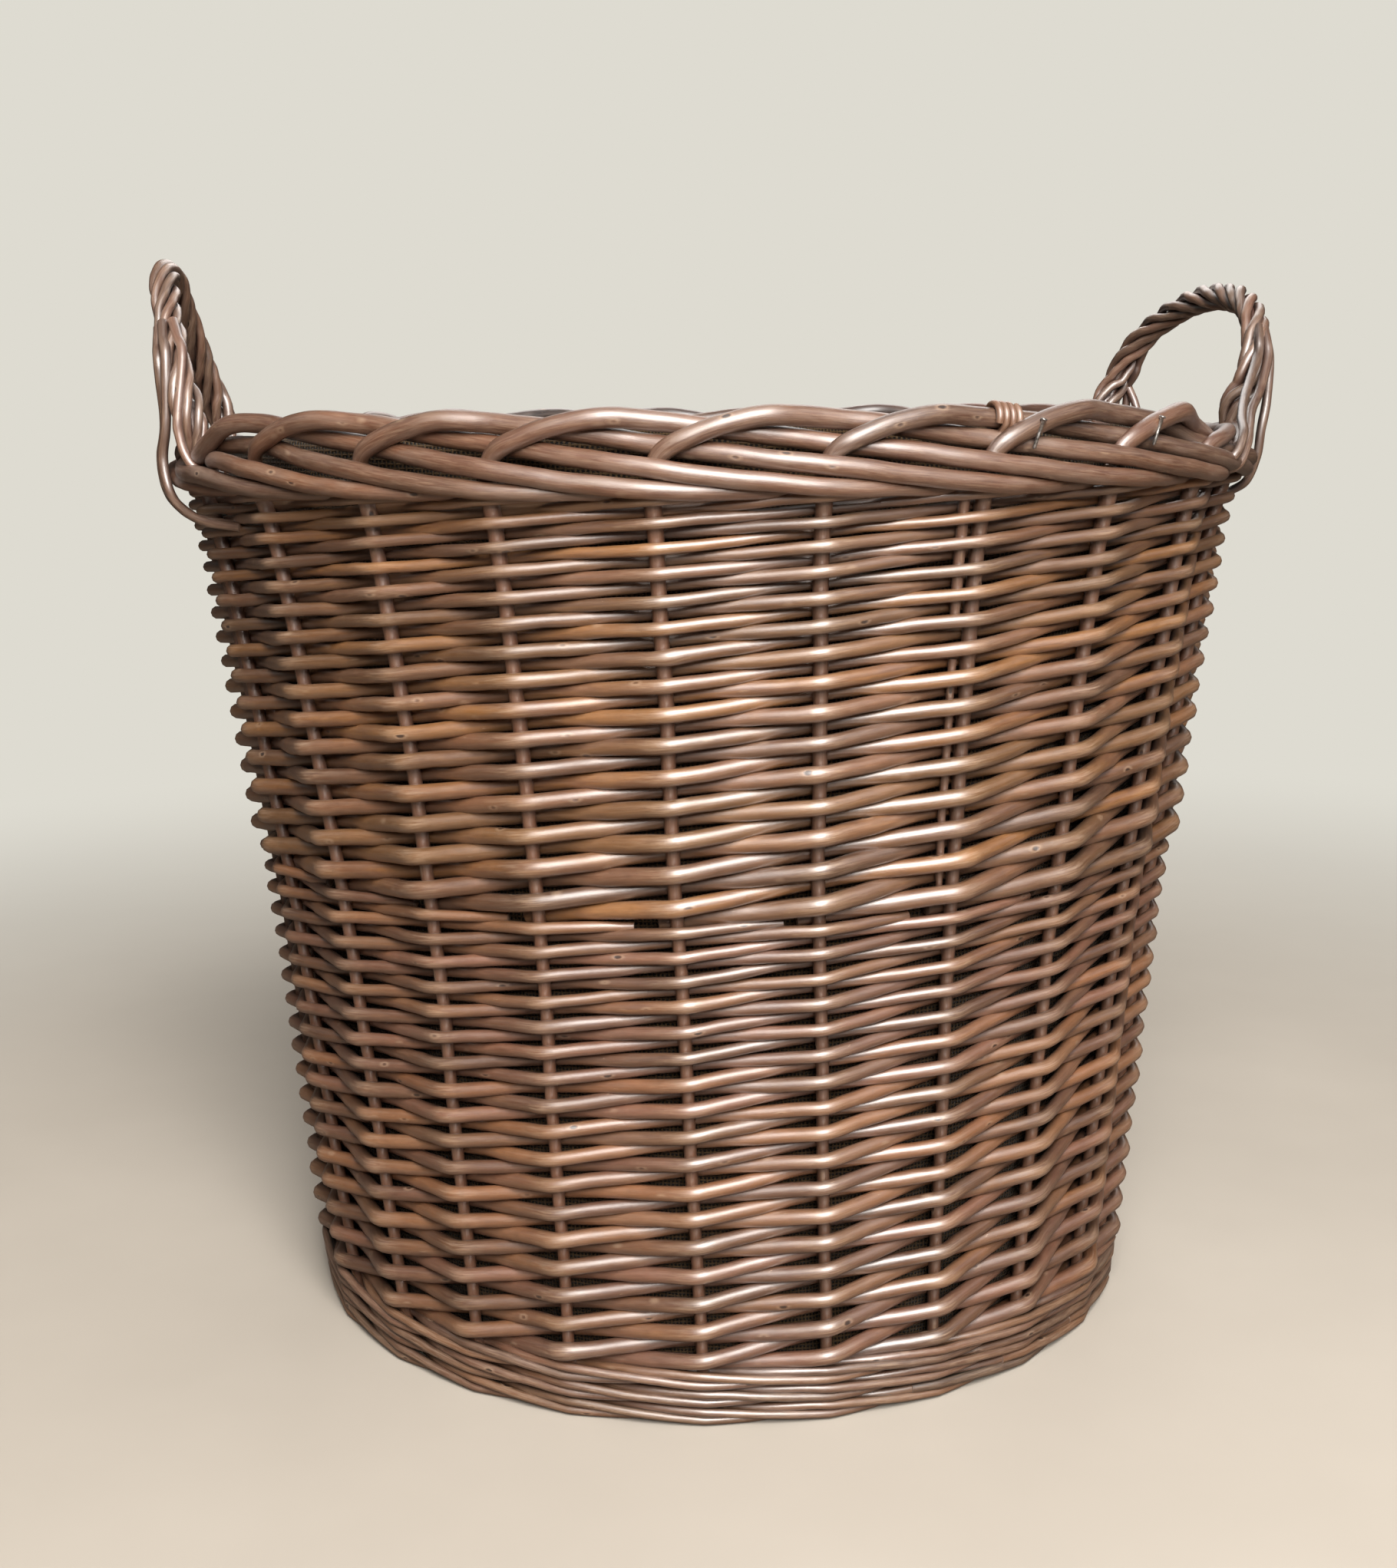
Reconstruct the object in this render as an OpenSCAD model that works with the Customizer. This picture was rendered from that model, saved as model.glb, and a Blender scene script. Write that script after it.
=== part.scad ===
// Round wicker log basket: randed wall on 24 stakes, waled foot, plain rod border,
// two roped end handles and a cloth lining.
// The frame stands on z = 0 with its axis on Z. Angles are taken round the basket from -Y towards +X.

/* [Wall] */
// Outer radius of the weave under the border
top_r = 250; // [230:1:270]
// Outer radius of the weave where its two bands meet
waist_r = 226; // [216:1:230]
// Outer radius of the weave on top of the foot wale
foot_r = 205; // [200:1:210]
// Height of the top of the weave
weave_h = 395; // [370:1:420]
// Height of the joint between the two bands of weave
waist_h = 229; // [200:1:250]
// Height of the foot wale
wale_h = 24; // [20:1:28]
// Thickness of the woven wall
wall_t = 14; // [12:1:16]

/* [Stakes] */
// Diameter of an upright stake
stake_d = 6; // [5:0.5:6.5]
// Angle of the first stake
stake_phase = -3.5; // [-5:0.5:-2]
// How far a stake leans from foot to border
stake_lean = 2; // [0:0.5:3]

/* [Border] */
// Diameter of a border rod at its kink
border_rod_d = 7.6; // [7:0.2:8]
// Diameter of a border rod at its tail
border_tail_d = 5.6; // [5:0.2:6.4]

/* [Handles] */
// Angle of the middle of the left handle
left_middle = -82; // [-83:0.5:-81]
// Angle of the middle of the right handle
right_middle = 101.5; // [100.5:0.5:102]
// Angle from the middle of the left handle to each foot
left_half = 16; // [15.5:0.5:16.5]
// Angle from the middle of the right handle to each foot
right_half = 18.5; // [18:0.5:19]
// Rise of the left bow above the top of the border
left_rise = 64; // [50:1:70]
// Rise of the right bow above the top of the border
right_rise = 51.5; // [48:0.5:70]
// Lean of the top of the left bow, outwards
left_lean = 4.5; // [3:0.5:12]
// Lean of the top of the right bow, outwards
right_lean = 13; // [8:0.5:18]
// Widening of the left bow half way up, as a share of its half angle; negative pinches it
left_widening = -0.4; // [-0.4:0.02:0.1]
// Widening of the right bow half way up, as a share of its half angle
right_widening = 0.06; // [-0.4:0.02:0.1]
// Diameter of the bow rod
bow_d = 5; // [4.6:0.2:6]
// Diameter of a rope rod
rope_d = 4.4; // [4:0.1:4.6]
// Turns of the rope round the bow
rope_turns = 2.6; // [2:0.1:4]

/* [Base] */
// Diameter of a base stick
base_stick_d = 9; // [8:0.5:9.5]
// Diameter of the middle of the sticks that pass through the slit ones
tongue_d = 5; // [4:0.5:5.5]
// Radius of the base
base_r = 190.7; // [185:0.1:190.7]

/* [Lining] */
// Thickness of the cloth
lining_t = 2; // [1.5:0.5:3]
// Height of the hem under the border
hem_h = 10; // [6:1:14]

/* [Hidden] */
stakes = 24;
pitch = 360 / stakes;
gap = 0.15;
sunk = 2.2;
by_sunk = 1.2;
border_z = weave_h + 0.5;
rim_z = border_z + 31 + border_rod_d / 2;
border_r = top_r - sunk;
base_z = 2;
base_t = 12;
stick_z = base_z + base_t / 2;
tie_r = 24;
tie_edge_r = 38;
stick_pitch = 11;
knuckle = 0.8;
bend_x = 20;
tongue_x = 16.2;
spoke_angle = 30;
inset = wall_t / 2;
leg_foot_z = 300;
pin_along = 4.6;
pin_head_z = rim_z + 0.5;
lap_along = 2.6;
rope_rods = 5;
foot_out = 2;
sides = 6;
eps = 0.01;

willow = "peru";
willow_dark = "sienna";
willow_pale = "burlywood";
hessian = "darkkhaki";
wire = "silver";

// Radius of the wall's outer surface at a height
function wall_r(z) = z < waist_h
    ? foot_r + (waist_r - foot_r) * (z - wale_h) / (waist_h - wale_h)
    : waist_r + (top_r - waist_r) * (z - waist_h) / (weave_h - waist_h);

// Point at an angle round the basket, a radius and a height
function at(angle, r, z) = [r * sin(angle), -r * cos(angle), z];

function stake_angle(k) = stake_phase + pitch * (k - 1);
function lean_at(z) = stake_lean * (0.5 - z / weave_h);
function unit(v) = v / norm(v);
function mix(a, b, t) = a + (b - a) * t;

function tangent(p, i) = unit(p[min(i + 1, len(p) - 1)] - p[max(i - 1, 0)]);

// Direction square to the centre line at a point, towards up where that is given, or else outwards
function side_of(p, i, up) = let (
    t = tangent(p, i),
    o = is_undef(up) ? unit([p[i][0], p[i][1], 0]) : up
) unit(o - (o * t) * t);

// Round rod along a list of points, tapering from one diameter to the other
module swept_rod(p, d_start, d_end, n = sides, up = undef) {
    last = len(p) - 1;
    rings = [for (i = [0:last], s = [0:n - 1]) let (
        r = mix(d_start, d_end, i / last) / 2,
        t = tangent(p, i),
        u = side_of(p, i, up),
        v = cross(t, u)
    ) p[i] + r * cos(360 * s / n) * u + r * sin(360 * s / n) * v];
    walls = [for (i = [0:last - 1], s = [0:n - 1]) let (
        a = i * n + s,
        b = i * n + (s + 1) % n
    ) each [[a, a + n, b], [b, a + n, b + n]]];
    start_cap = [[for (s = [0:n - 1]) s]];
    end_cap = [[for (s = [0:n - 1]) last * n + n - 1 - s]];
    polyhedron(rings, concat(walls, start_cap, end_cap));
}

// Straight round rod between two points
module straight_rod(a, b, d, fn = 24) {
    v = b - a;
    translate(a)
        rotate([0, acos(v[2] / norm(v)), atan2(v[1], v[0])])
            cylinder(d = d, h = norm(v), $fn = fn);
}

// Base: three sticks pushed through three slit ones, opened out like spokes

// Bend of a stick beside the block of sticks in the middle, and its end at a distance from the axis
function stick_bend(row) = [bend_x, row * stick_pitch, stick_z];
function stick_end(row, reach) = [reach * cos(row * spoke_angle), reach * sin(row * spoke_angle), stick_z];
function flip_x(p) = [-p[0], p[1], p[2]];

module stick_rod(route) {
    swept_rod(route, base_stick_d, base_stick_d, 16, [0, 0, 1]);
}

// Straight run of a stick across the block, out to a distance on both sides
module cross_run(row, d, half) {
    straight_rod([-half, row * stick_pitch, stick_z], [half, row * stick_pitch, stick_z], d);
}

module base_stick(row) {
    shoulder = [tongue_x, row * stick_pitch, stick_z];
    color(willow_pale) {
        for (end = [0, 1]) mirror([end, 0, 0]) stick_rod([shoulder, stick_bend(row), stick_end(row, base_r)]);
        cross_run(row, tongue_d, tongue_x + 1);
    }
}

module base_slit_stick(row) {
    bend = stick_bend(row);
    end = stick_end(row, base_r);
    color(willow_pale) difference() {
        rotate(90) stick_rod([flip_x(end), flip_x(bend), bend, end]);
        for (other = [-1, 0, 1]) cross_run(other, tongue_d + 2 * gap, bend_x);
    }
}

// Channels that the sticks lie in, out past the base's edge
module stick_channels() {
    channel_d = base_stick_d + 3 * gap;
    for (quarter = [0, 90], row = [-1, 0, 1], end = [0, 1]) rotate(quarter) mirror([end, 0, 0]) {
        if (row != 0) {
            straight_rod([tongue_x, row * stick_pitch, stick_z], stick_bend(row), channel_d);
            translate(stick_bend(row)) sphere(d = channel_d + knuckle, $fn = 24);
        }
        straight_rod(stick_bend(row), stick_end(row, base_r + 6), channel_d);
    }
}

module base_ring(r_in, r_out) {
    difference() {
        translate([0, 0, base_z]) cylinder(r = r_out, h = base_t, $fn = 96);
        cylinder(r = r_in, h = 60, $fn = 96);
        stick_channels();
    }
}

module base_tie() {
    color(willow_dark) base_ring(tie_r, tie_edge_r);
}

module base_weave() {
    color(willow) base_ring(tie_edge_r + gap, base_r);
}

// Wall: stakes stand half sunk in grooves of the woven bands

module stake_run(k, z_low, z_high, d) {
    angle = stake_angle(k);
    low = at(angle + lean_at(z_low), wall_r(z_low) - sunk, z_low);
    high = at(angle + lean_at(z_high), wall_r(z_high) - sunk, z_high);
    straight_rod(low, high, d);
}

module stake(k) {
    color(willow_pale) {
        stake_run(k, 3, waist_h, stake_d);
        stake_run(k, waist_h - 1, weave_h, stake_d - 0.4);
    }
}

module stake_grooves(z_low, z_high) {
    for (k = [1:stakes]) stake_run(k, z_low, z_high, stake_d + 2 * gap);
}

module band(z_low, z_high) {
    rotate_extrude($fn = 96) polygon([
        [wall_r(z_low) - wall_t, z_low],
        [wall_r(z_low), z_low],
        [wall_r(z_high), z_high],
        [wall_r(z_high) - wall_t, z_high]
    ]);
}

module foot_wale() {
    round_d = wale_h / 4 + 0.8;
    outer = foot_r - 0.6;
    color(willow_dark) difference() {
        rotate_extrude($fn = 96) {
            for (i = [0:3]) translate([outer, round_d / 2 + i * (wale_h - round_d) / 3]) {
                circle(d = round_d, $fn = 24);
            }
            translate([foot_r - wall_t, 0]) square([wall_t - 2, wale_h]);
        }
        for (k = [1:stakes]) stake_run(k, 2, wale_h + 2, stake_d + 2 * gap);
    }
}

module lower_weave() {
    color(willow) difference() {
        band(wale_h, waist_h - gap);
        stake_grooves(wale_h - 3, waist_h - eps);
    }
}

module upper_weave() {
    color(willow) difference() {
        difference() {
            band(waist_h, weave_h);
            stake_grooves(waist_h, weave_h + 3);
        }
        short_by_stakes(gap);
        wall_sockets();
    }
}

// Slim rods pushed in beside a stake on the right of the front, one above the other
by_stake_runs = [[236, 330, 3.4], [345, weave_h, 4.4]];

module short_by_stakes(grow = 0) {
    beside = stake_angle(3) - 1.8;
    for (run = by_stake_runs) {
        low = at(beside, wall_r(run[0]) - by_sunk, run[0]);
        high = at(beside, wall_r(run[1]) - by_sunk, run[1]);
        straight_rod(low, high + (high - low) * 0.05 * sign(grow), run[2] + 2 * grow);
    }
}

module by_stakes() {
    color(willow_pale) short_by_stakes();
}

// Border: each stake kinks over to the right, passes behind two and in front of two, and tucks under.
// A knot is [stake spaces along, height above the weave, distance outwards].

border_route = [
    [0, 0, 0],
    [0, 10, 0],
    [0.03, 16, 1.2],
    [0.1, 20, 2.8],
    [0.22, 24, 2.8],
    [0.42, 28.4, 2.2],
    [0.68, 31, 1],
    [1, 29.8, -4.4],
    [1.5, 26, -4.6],
    [2, 21.6, -4.6],
    [2.5, 17.2, 1.2],
    [3, 12.9, 6.4],
    [3.5, 8.5, 6.5],
    [4, 4.8, 6.4],
    [4.4, 3.7, 2.6],
    [4.8, 3.2, -2.2]
];

function border_point(k, knot) = at(
    stake_angle(k) + lean_at(weave_h) + knot[0] * pitch,
    border_r + knot[2],
    border_z + max(knot[1], border_tail_d / 2 * min(1, knot[0]))
);

module border() {
    color(willow_dark) difference() {
        union() for (k = [1:stakes]) {
            swept_rod([for (knot = border_route) border_point(k, knot)], border_rod_d, border_tail_d);
        }
        border_sockets();
        pins(gap);
    }
}

// Thin rod taken three times over the top rod of the border
module border_lap() {
    lap_d = 2.8;
    color(willow_pale) for (turn = [0:2]) {
        rotate(stake_angle(3) + lean_at(weave_h) + lap_along + turn * 0.72)
            translate([0, -border_r - 1.2, border_z + 30])
                rotate([0, -90, 0])
                    rotate(-98)
                        rotate_extrude(angle = 196, $fn = 48)
                            translate([(border_rod_d + lap_d) / 2 + gap, 0])
                                circle(d = lap_d, $fn = 16);
    }
}

// Wire pins driven down through the kinked rods beside two stakes
module pins(grow = 0) {
    for (k = [3, 4]) {
        angle = stake_angle(k) + lean_at(weave_h) + pin_along;
        head = at(angle, border_r + 1, pin_head_z + grow);
        straight_rod(at(angle, border_r + 1, pin_head_z - 18), head, 1.4 + 2 * grow, 16);
        translate(head - [0, 0, 0.8 + grow]) cylinder(d = 3 + 2 * grow, h = 0.8 + grow, $fn = 24);
    }
}

module border_pins() {
    color(wire) pins();
}

// Handles: a bow rod pushed down into the wall at both feet, roped over above the border

function handle_middle(side) = mix(left_middle, right_middle, side);
function handle_half(side) = mix(left_half, right_half, side);
function leg_angle(side, end) = handle_middle(side) + end * handle_half(side);

function leg_foot(side, end) = at(leg_angle(side, end), wall_r(leg_foot_z) - inset, leg_foot_z);
function leg_seat(side, end) = at(leg_angle(side, end), top_r - inset, weave_h);

// Holes for the legs: up through the weave, then through the border
module wall_sockets() {
    foot = at(0, wall_r(leg_foot_z) - inset, leg_foot_z);
    seat = at(0, top_r - inset, weave_h);
    for (side = [0, 1], end = [-1, 1]) rotate(leg_angle(side, end)) {
        straight_rod(foot, seat + (seat - foot) * 0.05, bow_d + 2 * gap);
    }
}

module border_sockets() {
    for (side = [0, 1], end = [-1, 1]) {
        seat = leg_seat(side, end);
        crown = bow_point(side, (end + 1) / 2);
        straight_rod(seat, crown + (crown - seat) * 0.1, bow_d + 2 * gap);
    }
}

// Share of the bow's rise at t, which runs from 0 at one foot to 1 at the other
function arch(t) = sin(180 * t);

function bow_angle(side, t) = handle_middle(side)
    - handle_half(side) * cos(180 * t) * (1 + mix(left_widening, right_widening, side) * arch(t));

function bow_point(side, t) = at(
    bow_angle(side, t),
    border_r + foot_out + mix(left_lean, right_lean, side) * pow(arch(t), 0.4),
    rim_z + mix(left_rise, right_rise, side) * arch(t)
);

bow_steps = 26;

module handle_bow(side) {
    bow = [for (i = [0:bow_steps]) bow_point(side, i / bow_steps)];
    first_leg = [leg_foot(side, -1), leg_seat(side, -1)];
    last_leg = [leg_seat(side, 1), leg_foot(side, 1)];
    color(willow) swept_rod(concat(first_leg, bow, last_leg), bow_d, bow_d, 10);
}

rope_steps = 32;
rope_start = 0.045;

function rope_t(i) = mix(rope_start, 1 - rope_start, i / rope_steps);

function rope_point(side, strand, i) = let (
    t = rope_t(i),
    c = bow_point(side, t),
    along = unit(bow_point(side, t + 0.005) - bow_point(side, t - 0.005)),
    out = unit([c[0], c[1], 0]),
    u = unit(out - (out * along) * along),
    v = cross(along, u),
    turn = 360 * (rope_turns * i / rope_steps + strand / rope_rods),
    r = (bow_d + rope_d) / 2 + gap
) c + r * cos(turn) * u + r * sin(turn) * v;

module handle_rope(side) {
    color(willow_dark) for (strand = [0:rope_rods - 1]) {
        swept_rod([for (i = [0:rope_steps]) rope_point(side, strand, i)], rope_d, rope_d, 7);
    }
}

// Ends of the rope rods: from the foot of the rope outside the border to the weave under it.
// A knot is [distance outwards from the border's middle, height above the weave].

lap_route = [[15.2, 30], [16, 18], [15.2, 6], [11.6, -4], [5.6, -12]];
lap_spread = 1.1;
lap_top = 38;

module handle_lap(side) {
    lean = mix(left_lean, right_lean, side) * pow(arch(rope_start), 0.4);
    start = [foot_out + lean + (bow_d + rope_d) / 2 + gap, lap_top];
    color(willow_dark) for (end = [-1, 1], rod = [-1, 0, 1]) {
        angle = leg_angle(side, end) + rod * lap_spread;
        route = concat([start], lap_route);
        swept_rod([for (knot = route) at(angle, border_r + knot[0], border_z + knot[1])], rope_d, rope_d);
    }
}

// Lining: an open cloth tub against the inside of the wall, hemmed under the border
module lining() {
    floor_z = base_z + base_t + gap;
    in = wall_t + 2 * gap;
    low = wall_r(wale_h) - in;
    mid = wall_r(waist_h) - in;
    top_z = weave_h + 24;
    top = wall_r(weave_h) - in;
    hem_z = top_z - hem_h;
    hem = mix(mid, top, (hem_z - waist_h) / (top_z - waist_h));
    color(hessian) rotate_extrude($fn = 96) polygon([
        [0, floor_z],
        [low, floor_z],
        [low, wale_h],
        [mid, waist_h],
        [top, top_z],
        [top - 2 * lining_t, top_z],
        [hem - 2 * lining_t, hem_z],
        [hem - lining_t, hem_z - lining_t],
        [mid - lining_t, waist_h],
        [low - lining_t, wale_h],
        [low - lining_t, floor_z + lining_t],
        [0, floor_z + lining_t]
    ]);
}

for (row = [-1, 0, 1]) base_slit_stick(row);
for (row = [-1, 0, 1]) base_stick(row);
base_tie();
base_weave();
foot_wale();
lower_weave();
upper_weave();
for (k = [1:stakes]) stake(k);
by_stakes();
border();
border_lap();
border_pins();
handle_bow(0);  // handle_bow_left
handle_rope(0);  // handle_rope_left
handle_lap(0);  // handle_lap_left
handle_bow(1);  // handle_bow_right
handle_rope(1);  // handle_rope_right
handle_lap(1);  // handle_lap_right
lining();
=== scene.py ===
import math

import bpy
import numpy as np
from mathutils import Matrix, Vector


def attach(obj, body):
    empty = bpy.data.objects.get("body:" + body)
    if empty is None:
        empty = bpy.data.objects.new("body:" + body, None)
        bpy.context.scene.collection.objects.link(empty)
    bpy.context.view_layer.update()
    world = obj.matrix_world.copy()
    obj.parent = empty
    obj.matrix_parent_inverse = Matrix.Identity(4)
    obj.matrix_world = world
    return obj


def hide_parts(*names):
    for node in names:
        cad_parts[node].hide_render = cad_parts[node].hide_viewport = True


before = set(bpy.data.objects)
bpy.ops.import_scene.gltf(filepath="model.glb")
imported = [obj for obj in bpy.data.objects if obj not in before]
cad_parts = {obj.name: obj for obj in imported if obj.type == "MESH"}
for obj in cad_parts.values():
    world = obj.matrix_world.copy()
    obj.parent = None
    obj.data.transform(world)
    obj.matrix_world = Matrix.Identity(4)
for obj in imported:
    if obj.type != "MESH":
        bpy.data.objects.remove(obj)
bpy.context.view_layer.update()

# Lengths are in mm and angles in degrees, until a mesh is made
MM = 0.001
STAKES = 24
PITCH = 360 / STAKES
PHASE = -3.5  # angle of the first stake at half the weave's height
LEAN = 2.0  # how far a stake leans to the left between the ground and the weave's top
WALE_H, WAIST_H, WEAVE_H = 24.0, 229.0, 395.0  # tops of the wale, the lower band and the upper band
BORDER_Z = 395.5  # height that the border's knots are counted from
BORDER_R = 247.8  # radius of the border's middle
RIM_Z = BORDER_Z + 34.8  # top of the border

# What the wall measures at some heights: the weave's outer radius, the radius that the stakes' middles stand
# at, and the thickness of the stakes that the weave allows for
WALL_R = ([0, WALE_H, WAIST_H, WEAVE_H], [201.5, 205, 226, 250])
STAKE_R = (
    [0, WALE_H, 200, 300, 372, 388, 402, 430],
    [193.6, 196.8, 214.8, 228.2, 239.2, 242.6, 246.8, BORDER_R],
)
STAKE_D = ([0, 30, 229, 380, 402, 425], [5.2, 4.9, 5.2, 5.9, 6.6, 7.4])
FOOT_ZONE = (20, 260)  # heights between which FOOT_SHIFT gives way to STAKE_SHIFT

# How far some stakes stand off their even spacing, by stake number, and how far they do at the foot
STAKE_SHIFT = {21: -0.8, 22: 0.4, 23: 1.0, 24: -0.4, 1: -0.5, 2: -0.6, 3: -0.3, 4: 0.0, 5: 1.2}
FOOT_SHIFT = {21: -0.8, 22: 0.0, 23: -0.8, 24: -1.9, 1: 0.3, 2: 0.9, 3: 0.7, 4: 0.2, 5: 1.0}
loose = np.random.default_rng(5).uniform(-0.7, 0.7, STAKES)
loose_foot = loose + np.random.default_rng(6).uniform(-0.8, 0.8, STAKES)
for number in STAKE_SHIFT:
    loose[number - 1] = STAKE_SHIFT[number]
    loose_foot[number - 1] = FOOT_SHIFT[number]


# -------- places


def at(angle, r, z):
    """Points in mm at angles round the basket from -Y towards +X, in degrees."""
    a = np.radians(angle)
    return np.stack(np.broadcast_arrays(r * np.sin(a), -r * np.cos(a), z), axis=-1).astype(float)


def outward(points):
    o = points * (1.0, 1.0, 0.0)
    return o / np.linalg.norm(o, axis=-1, keepdims=True)


def wall_r(z):
    return np.interp(z, *WALL_R)


def stake_r(z):
    return np.interp(z, *STAKE_R)


def stake_d(z):
    return np.interp(z, *STAKE_D)


def stake_angle(i, z):
    """Angle of stake i at a height; i may be any real number, and 0 is the first stake."""
    i = np.asarray(i, float)
    low = np.floor(i).astype(int)
    f = i - low
    shift = loose[low % STAKES] * (1 - f) + loose[(low + 1) % STAKES] * f
    foot = loose_foot[low % STAKES] * (1 - f) + loose_foot[(low + 1) % STAKES] * f
    down = np.interp(z, FOOT_ZONE, [1.0, 0.0])
    return PHASE + PITCH * i + shift * (1 - down) + foot * down + LEAN * (0.5 - z / WEAVE_H)


def unit(v):
    return v / np.maximum(np.linalg.norm(v, axis=-1, keepdims=True), 1e-9)


def square_to(v, ahead):
    """Unit vectors: what is left of v square to the directions ahead."""
    return unit(v - (v * ahead).sum(-1, keepdims=True) * ahead)


def lengths(path):
    """Length along a path from its start to each of its points."""
    return np.concatenate([[0], np.cumsum(np.linalg.norm(np.diff(path, axis=0), axis=1))])


def smooth_path(knots, step):
    """Catmull-Rom curve through knots, cut into steps of about that many mm."""
    k = np.asarray(knots, float)
    p = np.vstack([2 * k[0] - k[1], k, 2 * k[-1] - k[-2]])
    out = []
    for i in range(1, len(p) - 2):
        a, b, c, d = p[i - 1 : i + 3]
        n = max(2, int(math.ceil(np.linalg.norm(c[:3] - b[:3]) / step)))
        t = (np.arange(n) / n)[:, None]
        cubic = 2 * b + (c - a) * t + (2 * a - 5 * b + 4 * c - d) * t**2 + (3 * b - a - 3 * c + d) * t**3
        out.append(0.5 * cubic)
    out.append(p[-2:-1])
    return np.vstack(out)


def wander(along, size, rng, longest=90.0):
    """Smooth random offset along a rod, of about that size."""
    out = np.zeros(len(along))
    for wave, share in ((longest, 0.6), (longest / 2.3, 0.3), (longest / 5.1, 0.16)):
        out += share * np.sin(2 * np.pi * (along / wave + rng.random()))
    return out * size


# -------- rods to meshes


def ring_grid(rows, around):
    """Point numbers at the four corners of each cell, in rows that close round on themselves."""
    i, j = np.meshgrid(np.arange(rows - 1), np.arange(around), indexing="ij")
    here, beside = i * around + j, i * around + (j + 1) % around
    return here, beside, beside + around, here + around


class Rods:
    """Collects tapered rods into one mesh, with UVs in cm along and around each rod.

    The point attribute "rod" holds each rod's hue, its depth of stain darkened by painted shade on the side
    turned away from its ref direction, its wear and its cut ends.
    """

    def __init__(self):
        self.points, self.faces, self.uvs, self.rod = [], [], [], []
        self.count = 0

    def add(self, path, d, ref, tone, sides=10, wear=0.0, flat=1.0, painted_shade=1.05):
        """Adds a rod of diameter d round the path.

        ref is the direction that its first side faces, flat its thickness that way as a share of d, wear how
        rubbed that side is, the last keyword how much painted shade darkens the other side, and tone its hue,
        stain and place in the grain.
        """
        path = np.asarray(path, float)
        n = len(path)
        d, flat, wear = (np.broadcast_to(np.asarray(x, float), n) for x in (d, flat, wear))
        ahead = np.empty_like(path)
        ahead[1:-1] = path[2:] - path[:-2]
        ahead[0], ahead[-1] = path[1] - path[0], path[-1] - path[-2]
        ahead = unit(ahead)
        u = square_to(np.broadcast_to(np.asarray(ref, float), path.shape), ahead)
        v = np.cross(ahead, u)
        a = 2 * np.pi * np.arange(sides) / sides
        ring = (
            np.cos(a)[None, :, None] * u[:, None, :] * flat[:, None, None]
            + np.sin(a)[None, :, None] * v[:, None, :]
        )
        body = path[:, None, :] + ring * (d / 2)[:, None, None]
        along = lengths(path) / 10 + tone[2]
        round_cm = math.pi * float(d.mean()) / 10
        self.points.append(body.reshape(-1, 3))
        colour = np.empty((n, sides, 4))
        facing = np.clip(0.5 + 0.5 * np.cos(a), 0, 1)[None, :]
        colour[..., 0] = tone[0]
        # Painted shade: the stain channel is darkened on the sides turned away from ref
        colour[..., 1] = tone[1] - painted_shade * (1 - facing**0.6)
        colour[..., 2] = wear[:, None] * facing**1.5
        colour[..., 3] = 0.0
        self.rod.append(colour.reshape(-1, 4))
        quads = np.stack(ring_grid(n, sides), -1).reshape(-1, 4)
        self.faces.append((quads + self.count, 4))
        i, s = np.meshgrid(np.arange(n - 1), np.arange(sides), indexing="ij")
        near, far = (s / sides) * round_cm, ((s + 1) / sides) * round_cm
        corners = ((along[i], near), (along[i], far), (along[i + 1], far), (along[i + 1], near))
        self.uvs.append(np.stack([np.stack(corner, -1) for corner in corners], axis=2).reshape(-1, 2))
        self.count += n * sides
        for end, way in ((0, -1.0), (n - 1, 1.0)):
            self._cap(body[end], path[end], ahead[end] * way, float(d[end]), tone, way)

    def _cap(self, rim, middle, ahead, d, tone, way):
        """Closes a rod's end with a narrow bevel and a slightly raised cut face."""
        sides = len(rim)
        inner = middle + (rim - middle) * 0.86 + ahead * d * 0.06
        hub = middle + ahead * d * 0.07
        points = np.vstack([rim, inner, hub[None]])
        self.points.append(points)
        self.rod.append(np.tile([tone[0], tone[1], 0.0, 1.0], (len(points), 1)))
        s = np.arange(sides)
        s2 = (s + 1) % sides
        a, b = (s, s2) if way > 0 else (s2, s)
        across = unit(rim[0] - middle)
        other = np.cross(ahead, across)
        local = np.stack([(points - middle) @ across, (points - middle) @ other], -1) / 10 + tone[2]
        for corners in ([a, b, b + sides, a + sides], [a + sides, b + sides, np.full(sides, 2 * sides)]):
            faces = np.stack(corners, -1)
            self.faces.append((faces + self.count, len(corners)))
            self.uvs.append(local[faces.reshape(-1)])
        self.count += len(points)

    def piece(self, name, material, slot, *nodes):
        mesh = bpy.data.meshes.new(name)
        points = np.vstack(self.points) * MM
        mesh.vertices.add(len(points))
        mesh.vertices.foreach_set("co", points.astype(np.float32).ravel())
        sizes = np.concatenate([np.full(len(f), k) for f, k in self.faces])
        loops = np.concatenate([f.ravel() for f, k in self.faces])
        mesh.loops.add(len(loops))
        mesh.loops.foreach_set("vertex_index", loops.astype(np.int32))
        mesh.polygons.add(len(sizes))
        starts = np.concatenate([[0], np.cumsum(sizes)[:-1]])
        mesh.polygons.foreach_set("loop_start", starts.astype(np.int32))
        mesh.polygons.foreach_set("use_smooth", np.ones(len(sizes), bool))
        layer = mesh.uv_layers.new(name="UVMap")
        layer.data.foreach_set("uv", np.vstack(self.uvs).astype(np.float32).ravel())
        rod = mesh.attributes.new("rod", "FLOAT_COLOR", "POINT")
        rod.data.foreach_set("color", np.vstack(self.rod).astype(np.float32).ravel())
        mesh.update(calc_edges=True)
        mesh.validate()
        return place(mesh, name, material, slot, *nodes)


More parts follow.
